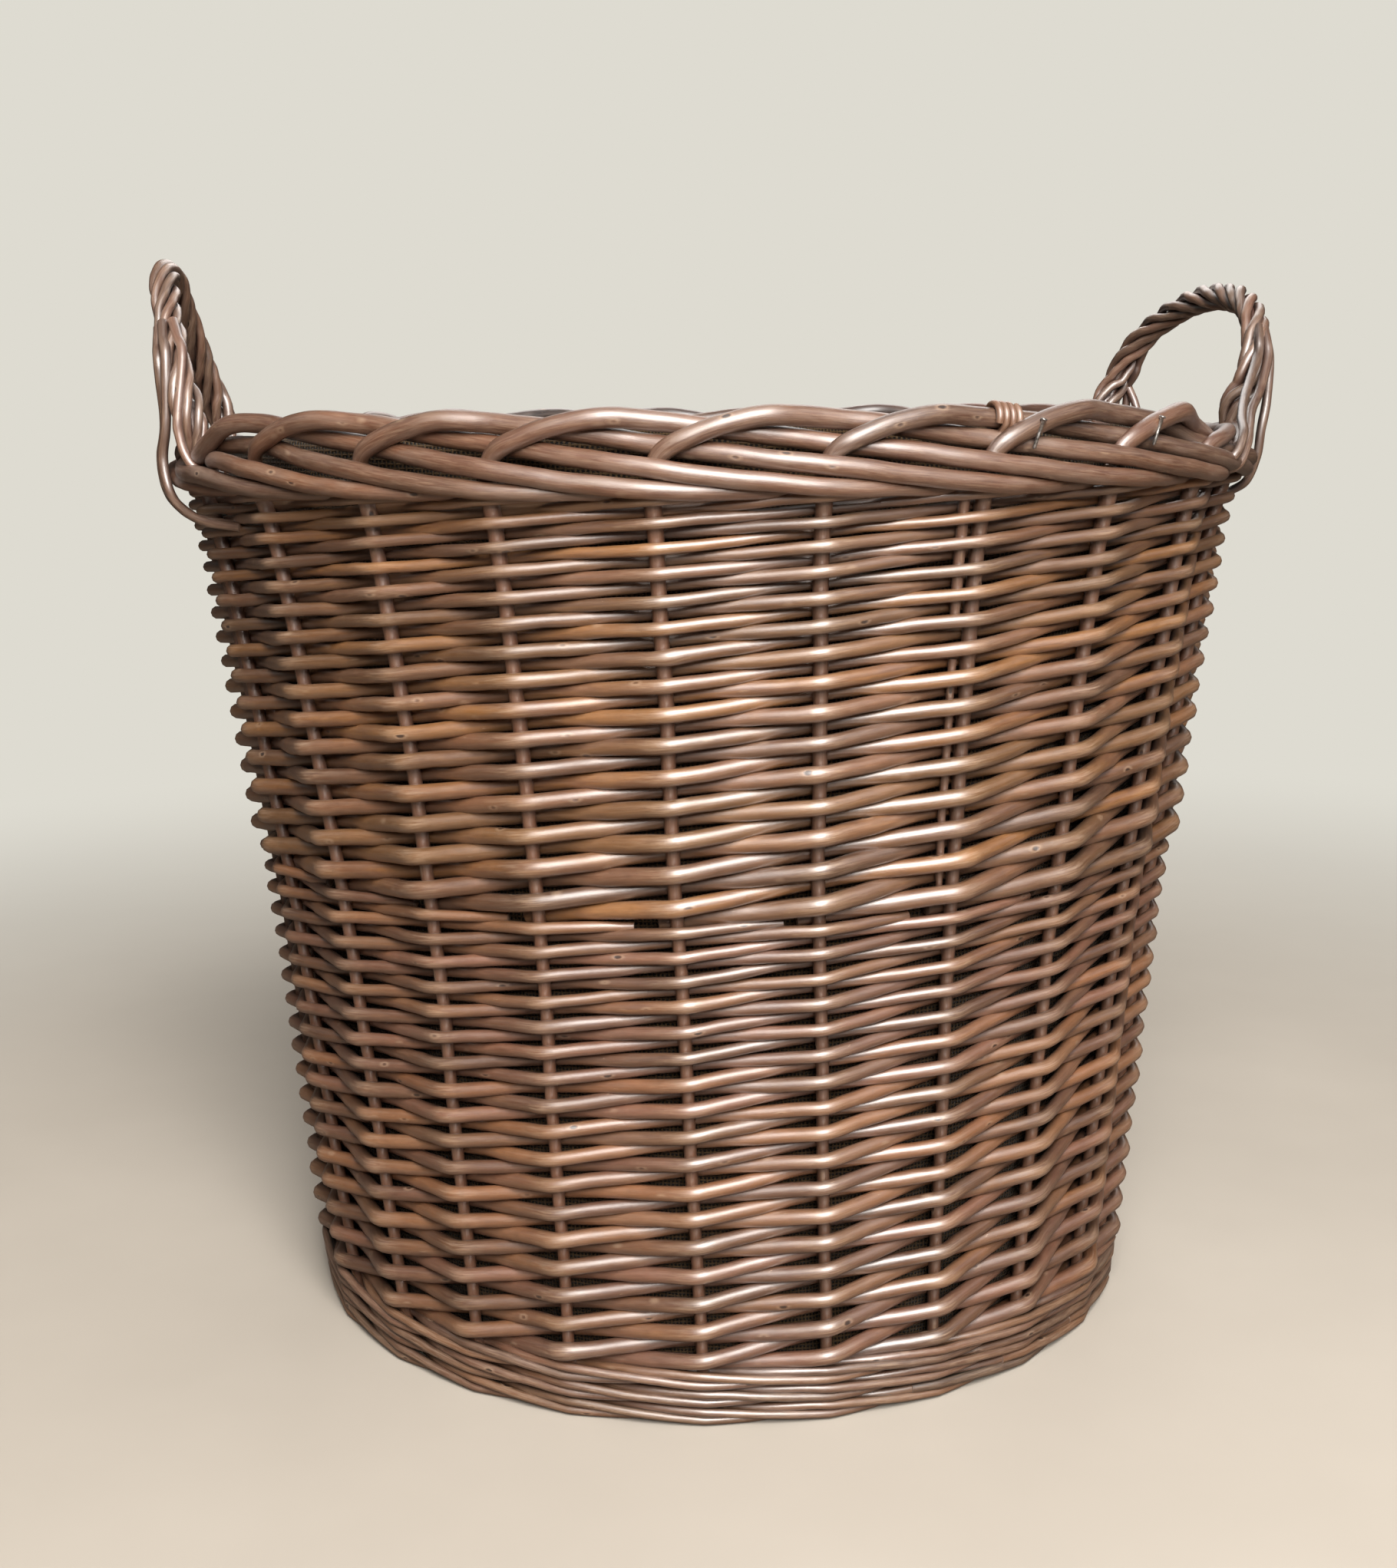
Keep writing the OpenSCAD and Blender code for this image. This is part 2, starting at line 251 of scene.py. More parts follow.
def place(mesh, name, material, slot, *nodes):
    obj = bpy.data.objects.new(name, mesh)
    bpy.context.scene.collection.objects.link(obj)
    mesh.materials.append(material)
    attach(obj, "root")
    if nodes:
        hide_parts(*nodes)
    return obj


def tone_of(rng, depth=(0.0, 1.0)):
    """A rod's hue, depth of stain and place in the grain."""
    return rng.uniform(), rng.uniform(*depth), rng.uniform(0, 400)


# -------- materials


def linear(*rgb):
    c = np.array(rgb, float) / 255
    return tuple(np.where(c <= 0.04045, c / 12.92, ((c + 0.055) / 1.055) ** 2.4)) + (1.0,)


class Nodes:
    def __init__(self, name):
        self.material = bpy.data.materials.new(name)
        self.material.use_nodes = True
        self.tree = self.material.node_tree
        self.shader = self.tree.nodes["Principled BSDF"]

    def put(self, node, key, value):
        if isinstance(value, bpy.types.NodeSocket):
            self.tree.links.new(value, node.inputs[key])
        else:
            node.inputs[key].default_value = value

    def add(self, kind, inputs=None, **settings):
        node = self.tree.nodes.new(kind)
        for key, value in settings.items():
            setattr(node, key, value)
        for key, value in (inputs or {}).items():
            self.put(node, key, value)
        return node

    def surface(self, **values):
        """Sets or links the shader's own sockets; an underscore stands for a space."""
        for key, value in values.items():
            self.put(self.shader, key.replace("_", " "), value)

    def math(self, operation, *values, clamp=False):
        inputs = dict(enumerate(values))
        return self.add("ShaderNodeMath", inputs, operation=operation, use_clamp=clamp).outputs[0]

    def mix(self, factor, a, b, blend="MIX"):
        inputs = {0: factor, 6: a, 7: b}
        return self.add("ShaderNodeMix", inputs, data_type="RGBA", blend_type=blend).outputs[2]

    def bump(self, height, strength, distance):
        inputs = {"Height": height, "Strength": strength, "Distance": distance}
        self.surface(Normal=self.add("ShaderNodeBump", inputs).outputs[0])

    def ramp(self, value, stops, interpolation="LINEAR"):
        node = self.add("ShaderNodeValToRGB", {0: value})
        node.color_ramp.interpolation = interpolation
        while len(node.color_ramp.elements) < len(stops):
            node.color_ramp.elements.new(0.5)
        for element, (place_at, colour) in zip(node.color_ramp.elements, stops):
            element.position = place_at
            element.color = colour if hasattr(colour, "__len__") else (colour, colour, colour, 1)
        return node.outputs[0]

    def noise(self, vector, scale, detail, roughness, stretch=(1, 1, 1), distortion=0.0):
        mapped = self.add("ShaderNodeMapping", {"Vector": vector, "Scale": stretch}).outputs[0]
        names = ("Vector", "Scale", "Detail", "Roughness", "Distortion")
        inputs = dict(zip(names, (mapped, scale, detail, roughness, distortion)))
        return self.add("ShaderNodeTexNoise", inputs).outputs[0]


CUT = linear(126, 94, 66)
WORN = linear(206, 176, 146)
WEATHERED = linear(150, 126, 110)
DARKEST, LIGHTEST = 0.5, 0.98  # of the palette's colour, on the deepest and on the palest stained rods


def willow(name, palette, rough=0.42, coat=1.0, bleach=0.15):
    """Stained and varnished willow: each rod's hue, bark mottle, fibres, scuffs, leaf scars and cut ends,
    with painted shade from the rods' stain channel.
    """
    n = Nodes(name)
    uv = n.add("ShaderNodeUVMap", uv_map="UVMap").outputs[0]
    rod = n.add("ShaderNodeAttribute", attribute_name="rod")
    hue, stain_and_shade, wear = n.add("ShaderNodeSeparateColor", {0: rod.outputs["Color"]}).outputs[:3]
    end = rod.outputs["Alpha"]

    patch = n.noise(uv, 1.0, 3, 0.6, (0.22, 1.1, 1))
    mottle = n.noise(uv, 1.0, 5, 0.65, (1.3, 3.2, 1), 0.6)
    fibre = n.noise(uv, 1.0, 3, 0.6, (1.1, 46, 1))
    fine = n.noise(uv, 1.0, 2, 0.5, (5, 120, 1))

    shifted = n.math("ADD", hue, n.math("MULTIPLY", n.math("SUBTRACT", patch, 0.5), 0.75), clamp=True)
    colour = n.ramp(shifted, [(i / (len(palette) - 1), linear(*rgb)) for i, rgb in enumerate(palette)])
    # The stain channel holds the depth of stain less painted shade on each rod's inner or lower side, which
    # can take it below DARKEST, towards black
    level = n.math("MULTIPLY_ADD", stain_and_shade, LIGHTEST - DARKEST, DARKEST)
    level = n.math("MULTIPLY", level, n.math("MULTIPLY_ADD", mottle, 0.75, 0.62))
    level = n.math("MULTIPLY", level, n.math("MULTIPLY_ADD", fibre, 0.42, 0.79))
    grey = n.add("ShaderNodeCombineColor", {0: level, 1: level, 2: level}).outputs[0]
    colour = n.mix(1.0, colour, grey, "MULTIPLY")

    # Paler where the stain has rubbed off proud places, along broken streaks
    streak = n.noise(uv, 1.0, 4, 0.7, (0.9, 16, 1), 0.4)
    rub = n.math("MULTIPLY", wear, n.ramp(streak, [(0.42, 0.15), (0.66, 1.0)]))
    colour = n.mix(n.math("MULTIPLY", rub, 0.55), colour, WORN)
    scuff = n.ramp(n.noise(uv, 1.0, 4, 0.75, (1.1, 9, 1), 1.2), [(0.685, 0.0), (0.73, 0.75)])
    colour = n.mix(scuff, colour, WORN)

    # Grey-brown patches where the bark has weathered
    bleached = n.ramp(n.noise(uv, 1.0, 4, 0.65, (0.16, 0.55, 1), 0.4), [(0.5, 0.0), (0.66, bleach)])
    colour = n.mix(bleached, colour, WEATHERED)

    # Leaf scars on about three cells in four: small dark marks with a paler edge
    cell_at = n.add("ShaderNodeMapping", {"Vector": uv, "Scale": (0.55, 1.0, 1)}).outputs[0]
    cells = n.add("ShaderNodeTexVoronoi", {"Vector": cell_at, "Scale": 1.0, "Randomness": 1.0})
    any_number = n.add("ShaderNodeSeparateColor", {0: cells.outputs["Color"]}).outputs[0]
    some = n.ramp(any_number, [(0.25, 0.0), (0.3, 1.0)], "CONSTANT")
    away = cells.outputs["Distance"]
    scar = n.math("MULTIPLY", n.ramp(away, [(0.06, 1.0), (0.1, 0.0)]), some)
    halo = n.math("MULTIPLY", n.ramp(away, [(0.09, 0.0), (0.12, 0.28), (0.2, 0.0)]), some)
    colour = n.mix(halo, colour, WORN)
    colour = n.mix(n.math("MULTIPLY", scar, 0.88), colour, linear(38, 22, 14))
    fleck = n.ramp(n.noise(uv, 1.0, 2, 0.5, (7, 22, 1)), [(0.7, 0.0), (0.76, 0.8)])
    colour = n.mix(fleck, colour, linear(48, 28, 18))

    rings = n.noise(uv, 18.0, 3, 0.7)
    colour = n.mix(end, colour, n.mix(rings, CUT, linear(72, 46, 30)))

    r = n.math("MULTIPLY_ADD", mottle, 0.34, rough - 0.17)
    r = n.math("ADD", r, n.math("MULTIPLY", n.math("SUBTRACT", fibre, 0.5), 0.24))
    r = n.math("ADD", r, n.math("MULTIPLY", end, 0.35), clamp=True)
    n.surface(Base_Color=colour, Roughness=r, Specular_IOR_Level=0.8)
    n.surface(Coat_Weight=coat, Coat_Roughness=0.4, Coat_IOR=2.05)

    height = n.math("MULTIPLY_ADD", fibre, 0.5, n.math("MULTIPLY", mottle, 0.8))
    height = n.math("ADD", height, n.math("MULTIPLY", fine, 0.22))
    height = n.math("SUBTRACT", height, n.math("MULTIPLY", scar, 0.9))
    height = n.math("ADD", height, n.math("MULTIPLY", halo, 0.9))
    n.bump(height, 0.6, 0.0005)
    return n.material


WEAVE_HUES = ((110, 66, 30), (148, 97, 46), (158, 107, 58), (144, 95, 62), (118, 73, 42), (154, 102, 50))
LOW_WEAVE_HUES = ((110, 66, 40), (144, 92, 54), (150, 100, 62), (136, 88, 64), (116, 72, 48), (146, 96, 56))
STAKE_HUES = ((128, 80, 54), (144, 94, 66), (134, 84, 54))
BORDER_HUES = ((102, 60, 38), (128, 78, 48), (118, 72, 52), (134, 84, 50))
ROPE_HUES = ((104, 64, 46), (128, 84, 64), (118, 74, 54), (96, 56, 40))
BASE_HUES = ((134, 92, 60), (156, 110, 70), (144, 98, 64))

weave_mat = willow("willow_weave", WEAVE_HUES)
lower_weave_mat = willow("willow_weave_low", LOW_WEAVE_HUES)
stake_mat = willow("willow_stakes", STAKE_HUES)
border_mat = willow("willow_border", BORDER_HUES, coat=0.75, bleach=0.5)
rope_mat = willow("willow_rope", ROPE_HUES)
base_mat = willow("willow_base", BASE_HUES, rough=0.5, coat=0.2)

THREADS_PER_CM = 5.6


def hessian(name):
    """Open jute cloth: round threads over and under, uneven, with painted shade, nearly black, in the gaps
    between them.
    """
    n = Nodes(name)
    uv = n.add("ShaderNodeUVMap", uv_map="UVMap").outputs[0]
    wobble = n.noise(uv, 1.0, 2, 0.5, (1.6, 1.6, 1))
    wobble2 = n.noise(uv, 1.0, 2, 0.5, (1.9, 1.4, 1), 0.3)
    parts = n.add("ShaderNodeSeparateXYZ", {0: uv})

    def thread(place_at, wobbled):
        """Height of the thread, 1 at its middle and 0 between threads, and the thread's number."""
        x = n.math("MULTIPLY", n.math("ADD", place_at, n.math("MULTIPLY", wobbled, 0.09)), THREADS_PER_CM)
        d = n.math("ABSOLUTE", n.math("SUBTRACT", n.math("FRACT", x), 0.5))
        return n.math("MULTIPLY_ADD", d, -2.0, 1.0), n.math("FLOOR", x)

    warp, warp_id = thread(parts.outputs[0], wobble)
    weft, weft_id = thread(parts.outputs[1], wobble2)
    turn = n.math("MODULO", n.math("ABSOLUTE", n.math("ADD", warp_id, weft_id)), 2.0)
    warp_h = n.math("MULTIPLY", warp, n.math("MULTIPLY_ADD", turn, 0.35, 0.65))
    weft_h = n.math("MULTIPLY", weft, n.math("MULTIPLY_ADD", turn, -0.35, 1.0))
    height = n.math("MAXIMUM", warp_h, weft_h)
    solid = n.ramp(height, [(0.40, 0.0), (0.56, 1.0)])
    slub = n.noise(uv, 1.0, 4, 0.7, (3, 0.6, 1))
    slub2 = n.noise(uv, 1.0, 4, 0.7, (0.6, 3, 1))
    fuzz = n.noise(uv, 42.0, 3, 0.7)
    tone = n.math("MULTIPLY_ADD", slub, 0.5, n.math("MULTIPLY", slub2, 0.5))
    cloth_hues = [(0.3, linear(66, 49, 30)), (0.5, linear(90, 69, 44)), (0.72, linear(116, 92, 62))]
    cloth = n.mix(n.math("MULTIPLY", fuzz, 0.5), n.ramp(tone, cloth_hues), linear(56, 41, 25))
    stain = n.ramp(n.noise(uv, 0.16, 3, 0.6), [(0.4, 0.0), (0.75, 0.4)])
    cloth = n.mix(stain, cloth, linear(44, 32, 20))
    # Painted shade: the gaps between the threads are coloured nearly black instead of being open
    n.surface(Base_Color=n.mix(solid, linear(12, 8, 5), cloth), Roughness=0.92, Specular_IOR_Level=0.2)
    n.surface(Sheen_Weight=0.08, Sheen_Roughness=0.5)
    n.bump(n.math("ADD", height, n.math("MULTIPLY", fuzz, 0.35)), 0.9, 0.0008)
    return n.material


hessian_mat = hessian("hessian_cloth")


def steel(name):
    n = Nodes(name)
    grain = n.noise(n.add("ShaderNodeTexCoord").outputs["Object"], 900.0, 3, 0.6)
    colour = n.ramp(grain, [(0.3, linear(120, 116, 110)), (0.7, linear(196, 194, 190))])
    n.surface(Base_Color=colour, Roughness=n.ramp(grain, [(0.3, 0.25), (0.7, 0.5)]), Metallic=0.9)
    n.bump(grain, 0.3, 0.0001)
    return n.material


wire_mat = steel("wire")

# -------- stakes and border

# A knot is [stake spaces along, height above the weave, distance outwards]
BORDER_ROUTE = [
    [0, 10, 0],
    [0.03, 16, 1.0],
    [0.09, 20, 2.6],
    [0.2, 23.6, 2.9],
    [0.4, 28.2, 2.4],
    [0.68, 31.2, 1],
    [1, 30, -4.4],
    [1.5, 26.2, -4.7],
    [2, 21.6, -4.7],
    [2.5, 17.2, 1.2],
    [3, 12.9, 6.5],
    [3.5, 8.6, 6.6],
    [4, 4.9, 6.4],
    [4.4, 3.9, 2.6],
    [4.8, 3.6, -2.4],
]
BORDER_ROD_D = [6.9, 7.8, 8.1, 7.6, 6.4]  # at the start, after 14 and 60 mm, at three quarters and at the end
BORDER_ROD_LIFT = ([0, 0.3, 1.2, 4.7], [0, 1, 0.4, 0])  # share of a rod's own lift, by stake spaces along
PRESSED = (50, 118)  # angles from the front between which the handles press the border down
FULLER = 1.08  # the stakes are drawn this much thicker than the weave allows for, so that they sit tight

tone_rng = np.random.default_rng(11)
stake_tones = [tone_of(tone_rng) for _ in range(STAKES)]


def stake_path(k):
    """Middle of stake k from the base to where its border run begins."""
    z = np.concatenate([[5, 6.5, 9.5, 15], np.arange(20, 396, 5.0), [397, 399.5, 402, 405.5]])
    r = stake_r(z) - np.interp(z, [5, 9, 15, 24], [9, 3.5, 0.6, 0])
    angle = stake_angle(k, z)
    rng = np.random.default_rng(100 + k)
    p = at(angle + wander(z, 0.1, rng, 130), r + wander(z, 0.25, rng, 110), z)
    return p, z


def ease(x):
    x = np.clip(x, 0, 1)
    return x * x * (3 - 2 * x)


def by_handle(angle):
    """1 where the handles press the border down, 0 at the front and the back."""
    side = np.abs((angle + 180) % 360 - 180)
    start, stop = ease((side - PRESSED[0]) / 14), ease((side - PRESSED[1]) / 14)
    return start * (1 - stop)


def border_path(k):
    """Middle of the border rod that stake k ends in, and the length along it."""
    rng = np.random.default_rng(300 + k)
    lift = rng.uniform(-0.8, 0.8)
    knots = []
    for along, up, out in BORDER_ROUTE:
        angle = stake_angle(k + along, WEAVE_H)
        pressed = 1 - 0.42 * by_handle(angle) if up > 6 else 1
        z = BORDER_Z + 6 + (up - 6) * pressed + lift * np.interp(along, *BORDER_ROD_LIFT)
        knots.append(at(angle, BORDER_R + out, z))
    path = smooth_path(knots, 2.6)
    along = lengths(path)
    fade = np.clip(along / 40, 0, 1)
    path[:, 2] += wander(along, 0.45, rng, 120) * fade
    path += outward(path) * (wander(along, 0.35, rng, 100) * fade)[:, None]
    return path, along


border_rods = Rods()
for k in range(STAKES):
    rng = np.random.default_rng(200 + k)
    p, z = stake_path(k)
    stake = Rods()
    thick = stake_d(z) * FULLER * (1 + wander(z, 0.03, rng, 70))
    stake.add(p, thick, outward(p), stake_tones[k], sides=12, wear=0.35)
    stake.piece(f"stake_{k + 1}_rod", stake_mat, "stake_willow", f"stake_{k + 1}")
    path, along = border_path(k)
    whole = along[-1]
    d = np.interp(along, [0, 14, 60, whole * 0.75, whole], BORDER_ROD_D)
    d = d * (1 + wander(along, 0.025, rng, 60)) * rng.uniform(0.96, 1.04)
    # Flattened where it is kinked over
    squash = 1 - 0.24 * np.exp(-(((along - 9) / 6) ** 2))
    tone = (stake_tones[k][0], stake_tones[k][1], stake_tones[k][2] + 41)
    border_rods.add(path, d, outward(path), tone, sides=14, wear=0.5, flat=squash)
border_rods.piece("border_rods", border_mat, "border_willow", "border")

# -------- woven bands

# Places between one knot and the next, closer together near the knots, where the rod bends
FRACTIONS = np.array([0, 0.022, 0.05, 0.09, 0.16, 0.27, 0.39, 0.5, 0.61, 0.73, 0.84, 0.91, 0.95, 0.978])
BEND_FRONT, BEND_BEHIND = 0.085, 0.2  # share of the way that a rod bends over, in front of a stake and behind


def row_heights(z_low, z_high, rows, first, last):
    """Height of each row's middle, with row spacing that shrinks as the rods taper."""
    steps = np.linspace(first, last, rows)
    z = np.concatenate([[0], np.cumsum((steps[1:] + steps[:-1]) / 2)])
    z = z_low + first / 2 + z * (z_high - z_low - (first + last) / 2) / z[-1]
    return z, steps


def bent_path(knots, bends, s):
    """Points at s on a line from knot to knot whose corners are rounded off over their shares of bend.

    The first knot is at s = -1. Also gives how far each point is from its nearest knot.
    """
    i = np.floor(s + 0.5).astype(int) + 1
    d = s - (i - 1)
    bend = bends[i][:, None]
    back, on = np.maximum(i - 1, 0), np.minimum(i + 1, len(knots) - 1)
    t = np.clip((d[:, None] + bend) / (2 * bend), 0, 1)
    before = knots[i] + (knots[back] - knots[i]) * bend
    after = knots[i] + (knots[on] - knots[i]) * bend
    corner = (1 - t) ** 2 * before + 2 * t * (1 - t) * knots[i] + t**2 * after
    straight = knots[i] + (knots[np.where(d > 0, on, back)] - knots[i]) * np.abs(d)[:, None]
    return np.where(np.abs(d)[:, None] < bend, corner, straight), d


def randed_band(z_low, z_high, rows, first, last, seed):
    """French randing: each rod starts behind its own stake and climbs a row in every space to the right.

    first and last are the row spacings at the band's foot and at its top.
    """
    rods = Rods()
    heights, steps = row_heights(z_low, z_high, rows, first, last)
    rng = np.random.default_rng(seed)
    bump = rng.normal(0, 0.42, (STAKES, rows))
    slow = rng.normal(0, 0.5, STAKES // 4 + 1)
    level = np.interp(np.arange(STAKES), np.arange(0, STAKES + 1, 4), slow, period=STAKES)
    level_fade = np.sin(np.pi * np.clip((heights - z_low) / (z_high - z_low), 0, 1))
    m = np.arange(rows)
    side = np.where(m % 2 == 1, 1.0, -1.0)
    bends = np.concatenate([[BEND_BEHIND], np.where(side > 0, BEND_FRONT, BEND_BEHIND), [BEND_BEHIND]])
    for j in range(STAKES):
        rng = np.random.default_rng(seed * 100 + j)
        thick = rng.uniform(0.93, 1.07)
        stake = (j + m) % STAKES
        z = heights + bump[stake, m] * 0.6 + level[stake] * level_fade
        w = steps * np.interp(m, [0, rows], [1.09, 1.02]) * thick
        gap = stake_d(z) / 2 + w / 2 - 0.15
        knots = at(stake_angle(j + m, z), stake_r(z) + side * gap, z)
        # The rod heads for the back of the next stake, but its tip is cut off before that
        end_r = stake_r(z[-1]) - side[-1] * gap[-1] * 0.6
        end = at(stake_angle(j + rows, z[-1]), end_r, z[-1] + steps[-1] * 0.45)
        knots = np.vstack([2 * knots[0] - knots[1], knots, end])
        # Rounding a corner off pulls the rod in, so the knots are pushed out by as much first
        pushed = knots.copy()
        pull = -0.5 * bends[1:-1, None]
        pushed[1:-1] += pull * ((knots[:-2] + knots[2:]) / 2 - knots[1:-1])
        stop = rows - 1 + rng.uniform(0.66, 0.84)
        s = (m[:, None] + FRACTIONS[None, :]).ravel()
        s = np.concatenate([[-0.13, -0.06], s[s < stop - 0.01], [stop]])
        path, d = bent_path(pushed, bends, s)
        along = lengths(path)
        calm = np.clip(np.abs(d) / 0.2, 0.15, 1)
        path[:, 2] += wander(along, 0.38, rng, 97) * calm
        path += outward(path) * (wander(along, 0.42, rng, 83) * calm)[:, None]
        dia = np.interp(s, m, w) * (1 + wander(along, 0.035, rng, 64))
        # Joints of the rod, where buds stood, are a little thicker
        for _ in range(int(along[-1] / 130)):
            where = rng.uniform(0, along[-1])
            dia = dia * (1 + rng.uniform(0.05, 0.11) * np.exp(-(((along - where) / 4.5) ** 2)))
        dia = dia * np.interp(s, [rows - 1, rows - 0.15], [1.0, 0.72])
        nearest = np.clip(np.floor(s + 0.5).astype(int), 0, rows - 1)
        front = np.where(side[nearest] > 0, 1.0, 0.0) * np.exp(-((d / 0.16) ** 2))
        rods.add(path, dia, outward(path), tone_of(rng), wear=0.22 + 0.78 * front)
    return rods


lower = randed_band(WALE_H - 3.5, WAIST_H - 2.5, rows=34, first=6.75, last=5.0, seed=21)
lower.piece("lower_weave_rods", lower_weave_mat, "weave_willow", "lower_weave")
upper = randed_band(WAIST_H - 4.5, WEAVE_H + 4.0, rows=30, first=7.2, last=4.3, seed=22)
upper.piece("upper_weave_rods", weave_mat, "weave_willow", "upper_weave")

# -------- foot wale

WALE_D = 4.5
WALE_RISE = 8.6  # from one round to the next
WALE_STEP_AT = 13  # stake at which the rounds step up
WALE_ROUNDS = 2.67
WALE_PIECES = 5  # lengths that each rod of the wale is pieced together from


def foot_wale():
    """Three-rod wale: each rod in front of two stakes and behind one, in rounds that step up at the back."""
    rods = Rods()
    w = WALE_D
    for j in range(3):
        rng = np.random.default_rng(400 + j)
        s = np.arange(0, STAKES * WALE_ROUNDS, 0.0834)
        p = s % 3.0
        x = s + j + WALE_STEP_AT
        turn = s / STAKES
        whole = np.floor(turn)
        climb = WALE_RISE * (whole + np.clip((turn - whole - 0.9) / 0.1, 0, 1))
        swing = 0.5 * w * 1.04 * np.sin(2 * np.pi * p / 3)
        z = np.maximum(w + 0.2 + climb + swing, w / 2 + 0.25)
        near = np.exp(-((np.minimum(p, 3 - p) / 0.4) ** 2))
        over = np.exp(-(((p - 1.5) / 0.5) ** 2))
        f = x - np.floor(x)
        r = stake_r(z) + (2.5 + w / 2) * (1 - 2 * near) + over * 1.6 + 1.0
        r = r - 1.6 * 4 * f * (1 - f) * (1 - near)
        path = at(stake_angle(x, z), r, z)
        along = lengths(path)
        path[:, 2] += wander(along, 0.35, rng, 88) * np.clip((z - 3) / 4, 0, 1)
        cut = np.linspace(0, len(s) - 1, WALE_PIECES + 1).astype(int)
        for q in range(WALE_PIECES):
            # Each piece but the last runs on a little into the next
            a, b = cut[q], cut[q + 1] + (4 if q < WALE_PIECES - 1 else 1)
            part = path[a:b]
            local = along[a:b] - along[a]
            dia = np.interp(local, [0, local[-1]], [w * 0.98, w * 0.84]) * (1 + wander(local, 0.04, rng, 55))
            wear = 0.35 + 0.6 * over[a:b]
            # Heavier painted shade on the wale rods' inner sides darkens the grooves between them
            rods.add(part, dia, outward(part), tone_of(rng, depth=(-0.4, 0.6)), wear=wear, painted_shade=2.0)
    return rods


foot_wale().piece("foot_wale_rods", lower_weave_mat, "weave_willow", "foot_wale")

# -------- base

BASE_R = 190.7
STICK_Z = 8.0
SPOKES = 12
STICK_D = 8.4
STICK_ROW = 11  # between sticks side by side in the middle


def base_sticks():
    """Six sticks: three slit ones with three more pushed through them, opened out like spokes."""
    for row in (-1, 0, 1):
        c, s = math.cos(math.radians(30 * row)), math.sin(math.radians(30 * row))
        half = [
            [(BASE_R - 2) * c, (BASE_R - 2) * s, STICK_Z],
            [110 * c, 110 * s, STICK_Z],
            [46, row * (STICK_ROW + 12), STICK_Z],
            [20, row * STICK_ROW, STICK_Z],
        ]
        for slit in (True, False):
            rods = Rods()
            rng = np.random.default_rng(500 + row * 2 + slit)
            path = smooth_path(half + [[-x, y, z] for x, y, z in reversed(half)], 6)
            if slit:
                path = path[:, [1, 0, 2]] * (-1, 1, 1)
                path[:, 2] = STICK_Z
            along = lengths(path)
            d = STICK_D * (1 + wander(along, 0.02, rng, 90))
            if not slit:
                # Pared down where it goes through the slit ones
                d = d * (1 - 0.42 * np.exp(-(((along - along[-1] / 2) / 17) ** 6)))
            rods.add(path, d, (0, 0, 1), tone_of(rng), sides=14, flat=0.84, wear=0.3)
            name = f"base_slit_stick_{row + 2}" if slit else f"base_stick_{row + 2}"
            rods.piece(name + "_rod", base_mat, "base_willow", name)


base_sticks()


def pairing(r_low, r_high, w, seed):
    """Two rods twisted round the spokes from the middle outwards, one over and one under each."""
    rods = Rods()
    rounds = (r_high - r_low) / (w * 1.04)
    for j in range(2):
        rng = np.random.default_rng(seed + j)
        s = np.arange(0.0, SPOKES * rounds, 0.2)
        r = r_low + w / 2 + s / SPOKES * w * 1.04
        over = np.cos(np.pi * (s + j))
        lift = (3.7 + w / 2) * np.sign(over) * np.abs(over) ** 0.75
        path = at(360 / SPOKES * s + 90, r + (j - 0.5) * 0.2, STICK_Z + lift)
        pieces = max(2, int(rounds / 3))
        cut = np.linspace(0, len(s) - 1, pieces + 1).astype(int)
        for q in range(pieces):
            part = path[cut[q] : cut[q + 1] + 1]
            dia = w * (1 + wander(lengths(part), 0.03, rng, 60))
            rods.add(part, dia, (0, 0, 1), tone_of(rng), sides=7, wear=0.2)
    return rods


pairing(24.5, 38, 2.9, 520).piece("base_tie_rods", base_mat, "base_willow", "base_tie")
pairing(38.4, BASE_R - 1.5, 3.5, 540).piece("base_weave_rods", base_mat, "base_willow", "base_weave")

# -------- short rods and laps


def by_stakes():
    """Two short rods pushed in on the left of stake 3, one above the other."""
    rods = Rods()
    rng = np.random.default_rng(610)
    for low, high, d, off in ((236, 332, 3.4, -1.75), (345, 399, 4.6, -1.9)):
        z = np.arange(low, high + 0.1, 4.0)
        angle = stake_angle(2, z) + off + wander(z, 0.08, rng, 60)
        p = at(angle, stake_r(z) + 0.3, z)
        taper = np.interp(z, [low, low + 12, high], [d * 0.8, d, d])
        rods.add(p, taper, outward(p), tone_of(rng), wear=0.4)
    return rods


by_stakes().piece("by_stake_rods", stake_mat, "stake_willow", "by_stakes")

LAP_D = 2.9
LAP_TURN = 0.72  # degrees round the basket that a turn of the lap takes


def border_lap():
    """A thin rod taken three times round the top rod of the border."""
    rods = Rods()
    rng = np.random.default_rng(620)
    t = np.linspace(-0.15, 3.1, 110)
    r = BORDER_ROD_D[2] / 2 + LAP_D / 2 - 0.1
    angle = stake_angle(2, WEAVE_H) + 1.2 + LAP_TURN * t
    a = 2 * np.pi * t + 0.6
    top_rod = border_path(1)[0]
    rod_angle = np.degrees(np.arctan2(top_rod[:, 0], -top_rod[:, 1]))
    rod_r = np.interp(angle, rod_angle, np.hypot(top_rod[:, 0], top_rod[:, 1]))
    rod_z = np.interp(angle, rod_angle, top_rod[:, 2])
    p = at(angle, rod_r + r * np.cos(a), rod_z + r * np.sin(a))
    centre = at(angle, rod_r, rod_z)
    rods.add(p, LAP_D, unit(p - centre), tone_of(rng), sides=9, wear=0.6)
    return rods


border_lap().piece("border_lap_rod", border_mat, "border_willow", "border_lap")

